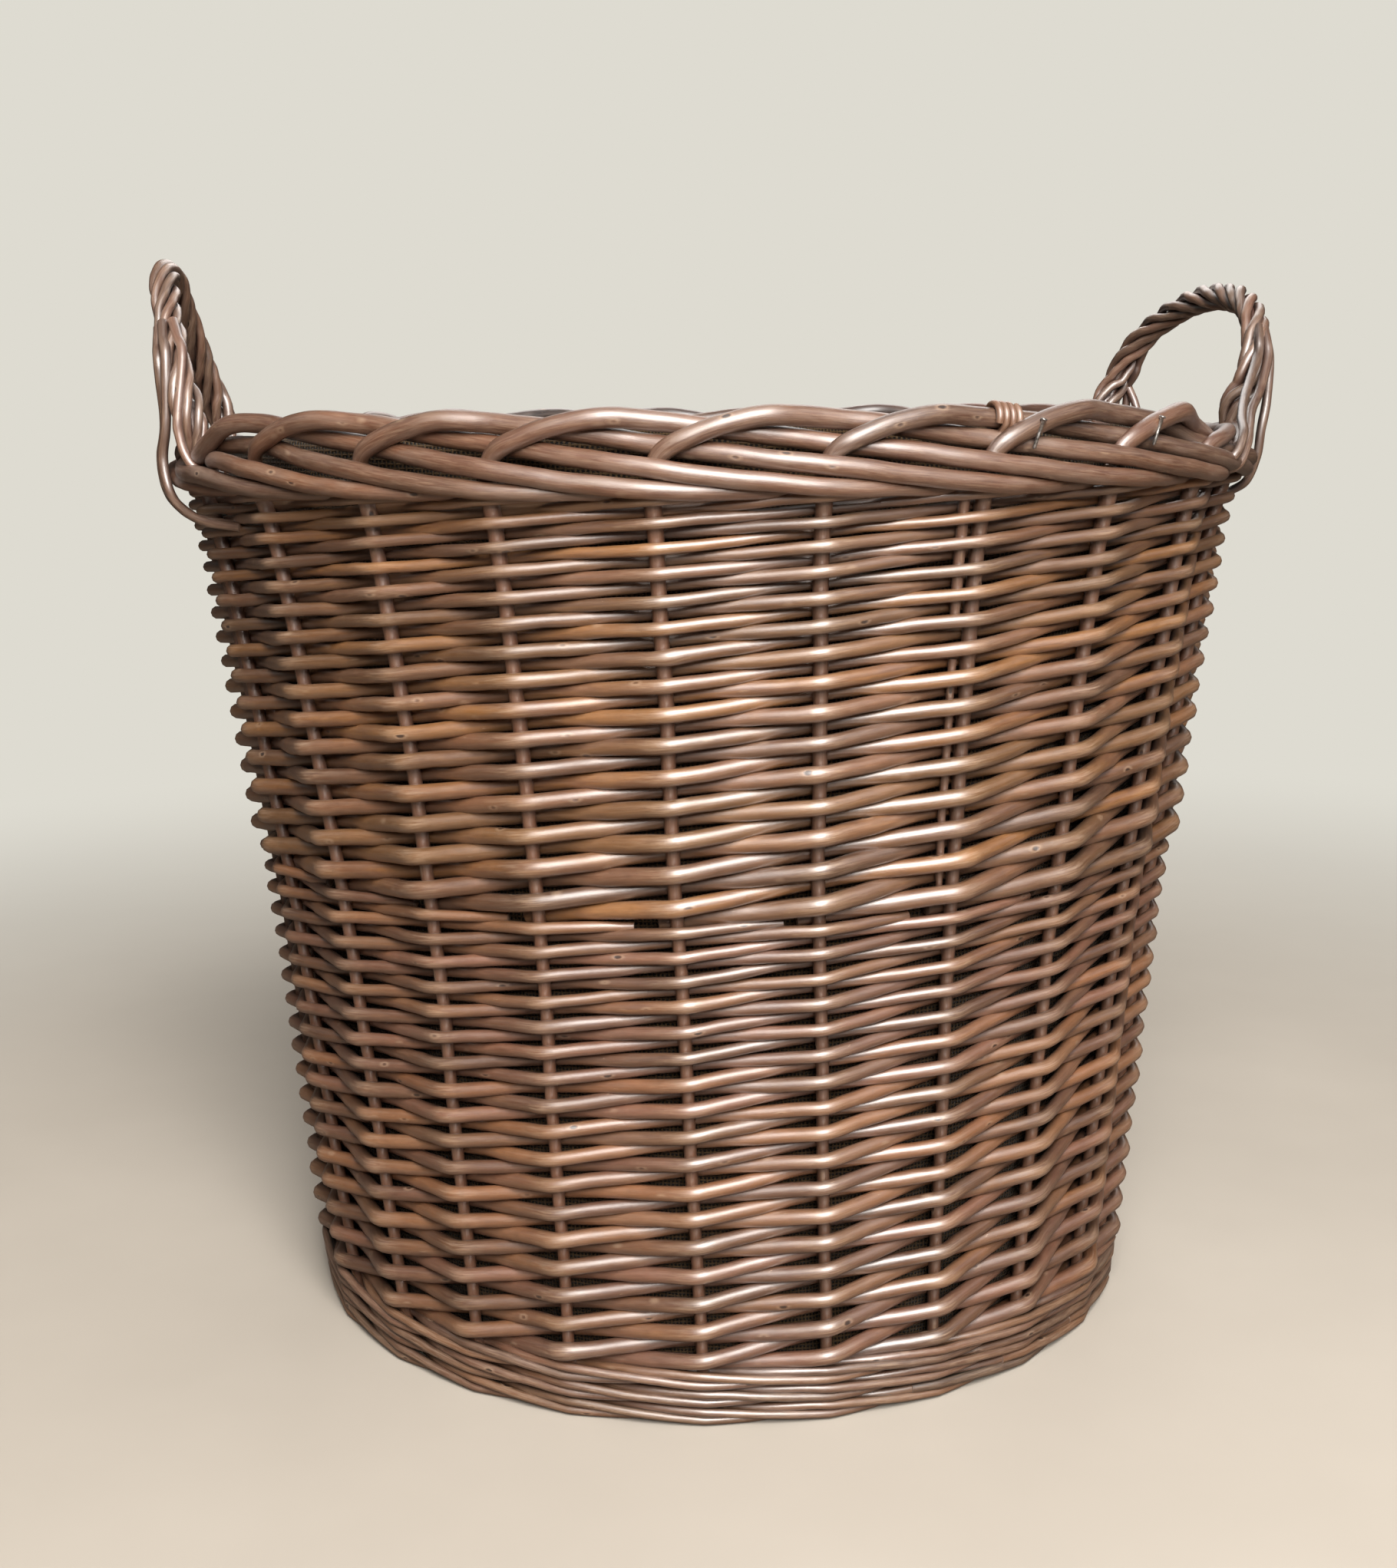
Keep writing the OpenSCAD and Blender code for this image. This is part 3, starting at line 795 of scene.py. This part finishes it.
# A pin's thickness at shares of the way from its point to the top of its head
PIN_AT = [0, 0.04, 0.5, 0.93, 0.935, 0.955, 0.985, 1.0]
PIN_D = [0.3, 1.4, 1.4, 1.4, 2.6, 3.0, 2.5, 1.2]


def border_pins():
    """Small wire pins that hold the kinked rods beside the lap."""
    rods = Rods()
    rng = np.random.default_rng(630)
    for k in (2, 3):
        angle = stake_angle(k, WEAVE_H) + 4.6
        foot = at(angle - 0.8, BORDER_R + 6, RIM_Z - 17.5)
        head = at(angle, BORDER_R + 7.6, RIM_Z - 6)
        t = np.array(PIN_AT)[:, None]
        rods.add(foot + (head - foot) * t, PIN_D, (1, 0, 0), tone_of(rng), sides=14)
    return rods


border_pins().piece("border_pins_wire", wire_mat, "pin_wire", "border_pins")

# -------- handles

ROPE_RODS = 5
ROPE_D = 4.6
CORE_D = 4.6
FOOT_OUT = 2.0  # of the bow's feet, from the border's middle
ROPE_TURNS = 3.1

# Each bow's middle angle, half angle, rise, lean and widening half way up
BOWS = ((-82.0, 16.0, 64.0, 4.5, -0.4), (101.5, 18.5, 51.5, 13.0, 0.06))

# Ends of the rope rods past each foot, as (turn, route). The turn says where on the rope the end leaves it,
# in degrees from the outside towards the front. A knot of the route is [degrees from the foot, distance out
# from the border's middle, height above BORDER_Z]. The left handle's far foot comes first, then its near one,
# then the right handle's near foot and its far one.
LAPS = (
    (
        (-50, [[-1.2, 13, 30], [-1.8, 15.6, 16], [-2.4, 13.2, 2], [-3.4, 6.6, -8], [-4.4, -6, -12]]),
        (0, [[0, 13.6, 31], [0.3, 16.4, 15], [0.7, 13.6, 0], [1.6, 6.4, -9], [2.4, -6, -13]]),
        (50, [[1.4, 12.6, 32], [2.4, 15.2, 17], [3.4, 12.4, 2], [4.8, 5.6, -7], [5.6, -6, -11]]),
    ),
    (
        (5, [[-3.4, 11.4, 31], [-4.6, 12.9, 16], [-3.8, 11.8, 2],
             [-0.8, 8.2, -6], [3.5, 3.4, -10], [7, -7, -12]]),
        (50, [[-1.4, 11.6, 31], [-2.2, 13.2, 15], [-1.2, 12, 1],
              [1.6, 8.2, -7], [5.6, 3.2, -11], [9, -7, -13]]),
        (105, [[1.4, 8.6, 33], [2.6, 9.2, 25], [3.6, 8.6, 17], [4.2, 4.6, 11], [4.6, -6, 8]]),
    ),
    (
        (-15, [[0.6, 16.8, 34], [0.2, 14.4, 21], [0.4, 12.9, 8], [1.2, 9.2, -3], [2.4, 1, -9]]),
        (45, [[-4.4, 11, 39], [-9.4, 7.4, 30], [-14.6, 8.4, 22.5],
              [-18.6, 10.6, 15], [-20.6, 8.6, 7], [-21.4, 1, 4]]),
        (85, [[-5.4, 6.6, 44], [-11, 4, 34.5], [-16.6, 6.4, 27],
              [-20.6, 10.8, 20], [-22.8, 9.6, 11], [-23.4, 1, 7]]),
    ),
    (
        (-50, [[-1.8, 16.6, 33], [-2.4, 17.8, 18], [-3.0, 14.4, 3], [-4.2, 6.6, -7], [-5, -6, -12]]),
        (0, [[0, 17.6, 33], [0.3, 18.4, 17], [0.7, 14.8, 1], [1.6, 6.6, -9], [2.4, -6, -13]]),
        (50, [[1.8, 16.2, 34], [2.6, 17.2, 19], [3.4, 13.8, 4], [4.8, 6, -6], [5.6, -6, -11]]),
    ),
)


def bow_point(side, t):
    """Point on a bow's middle above the border; t runs from 0 at one foot to 1 at the other."""
    t = np.asarray(t, float)
    middle, half, rise, lean, widening = BOWS[side]
    arch = np.sin(np.pi * np.clip(t, 0, 1))
    return at(
        middle - half * np.cos(np.pi * t) * (1 + widening * arch),
        BORDER_R + FOOT_OUT + lean * arch**0.4,
        RIM_Z + rise * arch,
    )


def handle_bow(side, label):
    """The bow's rod. Gives its arch and its two legs down into the wall."""
    middle, half = BOWS[side][:2]
    rng = np.random.default_rng(700 + side)
    arch = bow_point(side, np.linspace(0, 1, 90))
    legs = []
    for end, order in ((-1, 1), (1, -1)):
        z = np.linspace(300, RIM_Z - 2, 30)[::order]
        leg_r = np.interp(z, [300, WEAVE_H, RIM_Z], [229.7, 243.5, BORDER_R + FOOT_OUT])
        legs.append(at(middle + end * half, leg_r, z))
    path = np.vstack([legs[0], arch, legs[1]])
    rods = Rods()
    rods.add(path, CORE_D, outward(path), tone_of(rng))
    rods.piece(f"handle_bow_{label}_rod", rope_mat, "rope_willow", f"handle_bow_{label}")
    return arch, legs


def handle_rope(side, label, arch, legs):
    """The rods roped round the bow, from inside the border at one foot to inside it at the other."""
    low, high = (leg[leg[:, 2] > 410][::2] for leg in legs)
    line = smooth_path(np.vstack([low, arch[3:-3:3], high]), 1.6)
    length = lengths(line)
    u = length / length[-1]
    ahead = unit(np.gradient(line, axis=0))
    x = square_to(outward(line), ahead)
    y = np.cross(ahead, x)
    # Drawn in where the rope goes down into the border, and spread just above it
    inside = 1 - ease((line[:, 2] - 414) / 26)
    spread = ease((line[:, 2] - 416) / 14) * (1 - ease((line[:, 2] - 432) / 22))
    rods = Rods()
    for strand in range(ROPE_RODS):
        rng = np.random.default_rng(720 + side * 20 + strand)
        jitter = wander(length, 0.16, rng, 60)
        turn = 2 * np.pi * (ROPE_TURNS * u + (strand + rng.uniform(-0.08, 0.08)) / ROPE_RODS) + jitter
        r = (CORE_D + ROPE_D) / 2 - 0.1 - 1.6 * inside + 1.1 * spread + wander(length, 0.4, rng, 40)
        p = line + r[:, None] * (np.cos(turn)[:, None] * x + np.sin(turn)[:, None] * y)
        d = ROPE_D * rng.uniform(0.9, 1.1) * (1 + wander(length, 0.06, rng, 50))
        d = d * np.interp(u, [0, 1], [1.06, 0.94])
        rods.add(p, d, unit(p - line), tone_of(rng), sides=11, wear=0.75)
    rods.piece(f"handle_rope_{label}_rods", rope_mat, "rope_willow", f"handle_rope_{label}")


def handle_ends(side, label):
    """Ends of the rope's rods: off the rope's outside, over the border and tucked away under it."""
    middle, half = BOWS[side][:2]
    rods = Rods()
    for foot, end in enumerate((-1, 1)):
        for rod, (turned, route) in enumerate(LAPS[side * 2 + foot]):
            rng = np.random.default_rng(760 + side * 20 + end * 5 + rod)
            turn = np.radians(turned) * end * (2 * side - 1)
            knots = []
            for t, off in ((0.2, 0.55), (0.15, 0.95), (0.105, 1.2)):
                t = t if end < 0 else 1 - t
                c = bow_point(side, t)
                ahead = unit(bow_point(side, t + 0.01) - bow_point(side, t - 0.01))
                x = square_to(outward(c), ahead)
                y = np.cross(ahead, x)
                knots.append(c + (CORE_D / 2 + ROPE_D * off) * (np.cos(turn) * x + np.sin(turn) * y))
            for degrees, off, up in route:
                z = BORDER_Z + up + rng.uniform(-0.4, 0.4)
                knots.append(at(middle + end * half + degrees, BORDER_R + off + rng.uniform(-0.3, 0.3), z))
            p = smooth_path(knots, 2.0)
            along = lengths(p)
            d = np.interp(along, [0, along[-1]], [4.7, 4.0]) * (1 + wander(along, 0.05, rng, 40))
            rods.add(p, d, outward(p), tone_of(rng), sides=11, wear=0.8)
    rods.piece(f"handle_lap_{label}_rods", rope_mat, "rope_willow", f"handle_lap_{label}")


for side, label in enumerate(("left", "right")):
    handle_rope(side, label, *handle_bow(side, label))
    handle_ends(side, label)

# -------- lining

CLOTH_T = 1.2
FLOOR_Z = 16.2  # of the cloth floor, on top of the base's weave
HEM_Z = WEAVE_H + 23.5  # top edge of the cloth, behind the border
HEM_H = 24.0


def mesh_of(name, points, faces, uv):
    mesh = bpy.data.meshes.new(name)
    mesh.from_pydata((points * MM).tolist(), [], faces)
    layer = mesh.uv_layers.new(name="UVMap")
    layer.data.foreach_set("uv", uv.astype(np.float32).ravel())
    mesh.polygons.foreach_set("use_smooth", np.ones(len(mesh.polygons), bool))
    mesh.update()
    return mesh


def lining_wall():
    """Cloth wall of the lining: hangs from a hem under the border, with soft folds, against the weave."""
    around, up = 288, 84
    rng = np.random.default_rng(800)
    z = FLOOR_Z + 0.6 + (HEM_Z - FLOOR_Z - 0.6) * np.linspace(0, 1, up)
    A, V = np.meshgrid(np.arange(around) / around, np.linspace(0, 1, up), indexing="xy")
    Z = np.broadcast_to(z[:, None], A.shape)
    folds = np.zeros_like(A)
    for waves, size in ((7, 1.0), (11, 0.9), (17, 0.8), (29, 0.55), (43, 0.35)):
        drift = rng.uniform(-0.5, 0.5)
        bend = rng.uniform(0.02, 0.05) * np.sin(2 * np.pi * (V * rng.uniform(0.6, 1.5) + rng.random()))
        folds += size * np.sin(2 * np.pi * (waves * (A + bend) + drift * V + rng.random()))
    slack = 1.5 + 0.9 * np.exp(-((V / 0.16) ** 2)) - 0.9 * np.exp(-(((1 - V) / 0.1) ** 2))
    swing = 0.35 * np.sin(2 * np.pi * (3 * A + rng.random()))
    bunch = 1.1 * np.sin(2 * np.pi * (V * 6.5 + swing)) * np.exp(-((V / 0.22) ** 2))
    R = wall_r(Z) - 18.4 - np.clip(1.6 + folds * slack + bunch, 0, 9)
    hem = np.clip((Z - (HEM_Z - HEM_H)) / 2, 0, 1) * 1.1
    angle = np.degrees(2 * np.pi * A)
    outer, inner = at(angle, R + CLOTH_T / 2, Z), at(angle, R - CLOTH_T / 2 - hem, Z)
    points = np.vstack([outer.reshape(-1, 3), inner.reshape(-1, 3)])

    out_faces = np.stack(ring_grid(up, around), -1).reshape(-1, 4)
    m = up * around
    j, j2 = np.arange(around), (np.arange(around) + 1) % around
    rim = m - around
    top = np.stack([rim + j, rim + j2, rim + j2 + m, rim + j + m], -1)
    low = np.stack([j + m, j2 + m, j2, j], -1)
    faces = np.vstack([out_faces, out_faces[:, ::-1] + m, top, low])

    girth = 2 * math.pi * float(R.mean()) / 10
    height = (HEM_Z - FLOOR_Z) / 10
    cols = faces % m % around
    rows = faces % m // around
    wrap = (cols.max(1) == around - 1) & (cols.min(1) == 0)
    cols = np.where(wrap[:, None] & (cols == 0), around, cols)
    uv = np.stack([cols / around * girth, rows / (up - 1) * height], -1).reshape(-1, 2)
    mesh = mesh_of("lining_wall", points, faces.tolist(), uv)
    obj = place(mesh, "lining_wall", hessian_mat, "hessian", "lining")


def lining_floor():
    """Round cloth floor of the lining, in shallow ripples, turned up a little at its edge."""
    rings, around = 44, 120
    rng = np.random.default_rng(820)
    r_edge = float(wall_r(WALE_H)) - 21.5
    a = np.arange(around) / around * 2 * np.pi
    r = np.linspace(0.02, 1, rings) * r_edge
    R, A = np.meshgrid(r, a, indexing="ij")
    x, y = R * np.sin(A), -R * np.cos(A)
    lift = np.zeros_like(x)
    for _ in range(9):
        way = rng.uniform(0, np.pi)
        wave = rng.uniform(70, 190)
        lift += 0.32 * np.sin(2 * np.pi * ((x * np.cos(way) + y * np.sin(way)) / wave + rng.random()))
    lift = np.clip(lift + 0.8, 0, 2.4) + 1.4 * np.exp(-(((r_edge - R) / 14) ** 2))
    z = FLOOR_Z - 0.4 + lift
    top = np.stack([x, y, z + CLOTH_T], -1).reshape(-1, 3)
    low = np.stack([x, y, z], -1).reshape(-1, 3)
    m = len(top)
    points = np.vstack([top, low])

    here, beside, beside_out, out_on = ring_grid(rings, around)
    up_faces = np.stack([here, out_on, beside_out, beside], -1).reshape(-1, 4)
    j, j2 = np.arange(around), (np.arange(around) + 1) % around
    edge = m - around
    rim = np.stack([edge + j + m, edge + j2 + m, edge + j2, edge + j], -1)
    hub = [j.tolist(), (j[::-1] + m).tolist()]
    faces = np.vstack([up_faces, up_faces[:, ::-1] + m, rim]).tolist() + hub
    uv = points[np.concatenate(faces)][:, :2] / 10
    mesh = mesh_of("lining_floor", points, faces, uv)
    obj = place(mesh, "lining_floor", hessian_mat, "hessian", "lining")


lining_wall()
lining_floor()

# -------- floor, light, camera

BACKGROUND = linear(222, 219, 209)
FLOOR_HALF = 9.0
BOUNCE = linear(104, 90, 78)  # the floor's colour for the light that it throws back

# Each light's azimuth, elevation, distance, size, power and colour
LIGHTS = {
    "key": (8, 36, 2.1, (0.8, 1.5), 84, (1.0, 0.96, 0.92)),
    "left_fill": (-95, 35, 2.4, (1.2, 1.6), 2.2, (1.0, 0.96, 0.9)),
    "right_fill": (85, 30, 2.4, (1.0, 1.4), 2.5, (0.84, 0.92, 1.0)),
    "back_fill": (172, 38, 2.6, (1.8, 1.2), 20, (1.0, 0.97, 0.94)),
    "top_fill": (30, 80, 2.2, (1.4, 1.4), 6, (1.0, 0.98, 0.95)),
}
AIM = Vector((0, 0, 0.24))


def floor():
    """Pale floor that fades into the background's colour behind the basket, so that no horizon shows.

    Only the camera sees it pale: it throws light back as the photo's dark boards do.
    """
    mesh = bpy.data.meshes.new("floor")
    s = FLOOR_HALF
    mesh.from_pydata([(-s, -s, 0), (s, -s, 0), (s, s, 0), (-s, s, 0)], [], [(0, 1, 2, 3)])
    obj = bpy.data.objects.new("floor", mesh)
    bpy.context.scene.collection.objects.link(obj)
    n = Nodes("floor_pale")
    spot = n.add("ShaderNodeTexCoord").outputs["Object"]
    seen = n.add("ShaderNodeLightPath").outputs["Is Camera Ray"]
    pale = n.ramp(n.noise(spot, 3.0, 4, 0.6), [(0.3, linear(190, 182, 170)), (0.7, linear(198, 190, 178))])
    n.surface(Base_Color=n.mix(seen, BOUNCE, pale), Roughness=0.75, Specular_IOR_Level=0.25)
    far = n.add("ShaderNodeVectorMath", {0: spot}, operation="LENGTH").outputs["Value"]
    far = n.add("ShaderNodeMapRange", {0: far, 1: 0.4, 2: 1.5}, interpolation_type="SMOOTHSTEP").outputs[0]
    far = n.math("MULTIPLY", far, seen)
    glow = n.add("ShaderNodeEmission", {"Color": BACKGROUND, "Strength": 1.0}).outputs[0]
    blend = n.add("ShaderNodeMixShader", {0: far, 1: n.shader.outputs[0], 2: glow}).outputs[0]
    n.tree.links.new(blend, n.tree.nodes["Material Output"].inputs[0])
    mesh.materials.append(n.material)


def backdrop():
    """A faint warm fill from all round, and the background's colour for the camera."""
    world = bpy.data.worlds.new("world")
    bpy.context.scene.world = world
    world.use_nodes = True
    tree = world.node_tree
    fill = tree.nodes["Background"]
    fill.inputs["Color"].default_value = (0.95, 0.9, 0.86, 1)
    fill.inputs["Strength"].default_value = 0.02
    shown = tree.nodes.new("ShaderNodeBackground")
    shown.inputs["Color"].default_value = BACKGROUND
    shown.inputs["Strength"].default_value = 1.0
    seen = tree.nodes.new("ShaderNodeLightPath")
    pick = tree.nodes.new("ShaderNodeMixShader")
    tree.links.new(seen.outputs["Is Camera Ray"], pick.inputs[0])
    tree.links.new(fill.outputs[0], pick.inputs[1])
    tree.links.new(shown.outputs[0], pick.inputs[2])
    tree.links.new(pick.outputs[0], tree.nodes["World Output"].inputs[0])


def area_light(name, azimuth, elevation, distance, size, power, colour):
    data = bpy.data.lights.new(name, "AREA")
    data.shape = "RECTANGLE"
    data.size, data.size_y = size
    data.energy = power
    data.color = colour
    light = bpy.data.objects.new(name, data)
    bpy.context.scene.collection.objects.link(light)
    a, e = math.radians(azimuth), math.radians(elevation)
    way = Vector((math.sin(a) * math.cos(e), -math.cos(a) * math.cos(e), math.sin(e)))
    light.location = AIM + distance * way
    light.rotation_euler = (AIM - light.location).to_track_quat("-Z", "Y").to_euler()


floor()
backdrop()
for name, settings in LIGHTS.items():
    area_light(name, *settings)
bpy.context.scene.view_settings.view_transform = "Standard"

# Fitted to the photo: degrees to the right, down and round, mm of lens, metres from the middle of the foot
YAW, PITCH_DOWN, ROLL = -0.46, 10.58, -0.77
LENS = 46.26
CAMERA_AT = (0, -1.0, 0.43)


def camera():
    yaw, pitch, roll = (math.radians(x) for x in (YAW, PITCH_DOWN, ROLL))
    forward = Vector((math.sin(yaw) * math.cos(pitch), math.cos(yaw) * math.cos(pitch), -math.sin(pitch)))
    right = Vector((math.cos(yaw), -math.sin(yaw), 0))
    up = right.cross(forward)
    right_rolled = math.cos(roll) * right + math.sin(roll) * up
    up_rolled = -math.sin(roll) * right + math.cos(roll) * up
    data = bpy.data.cameras.new("camera")
    data.lens = LENS
    data.sensor_width = 36
    data.clip_start = 0.02
    cam = bpy.data.objects.new("camera", data)
    bpy.context.scene.collection.objects.link(cam)
    turn = Matrix((right_rolled, up_rolled, -forward)).transposed().to_4x4()
    cam.matrix_world = Matrix.Translation(CAMERA_AT) @ turn
    bpy.context.scene.camera = cam


camera()

bpy.context.view_layer.update()
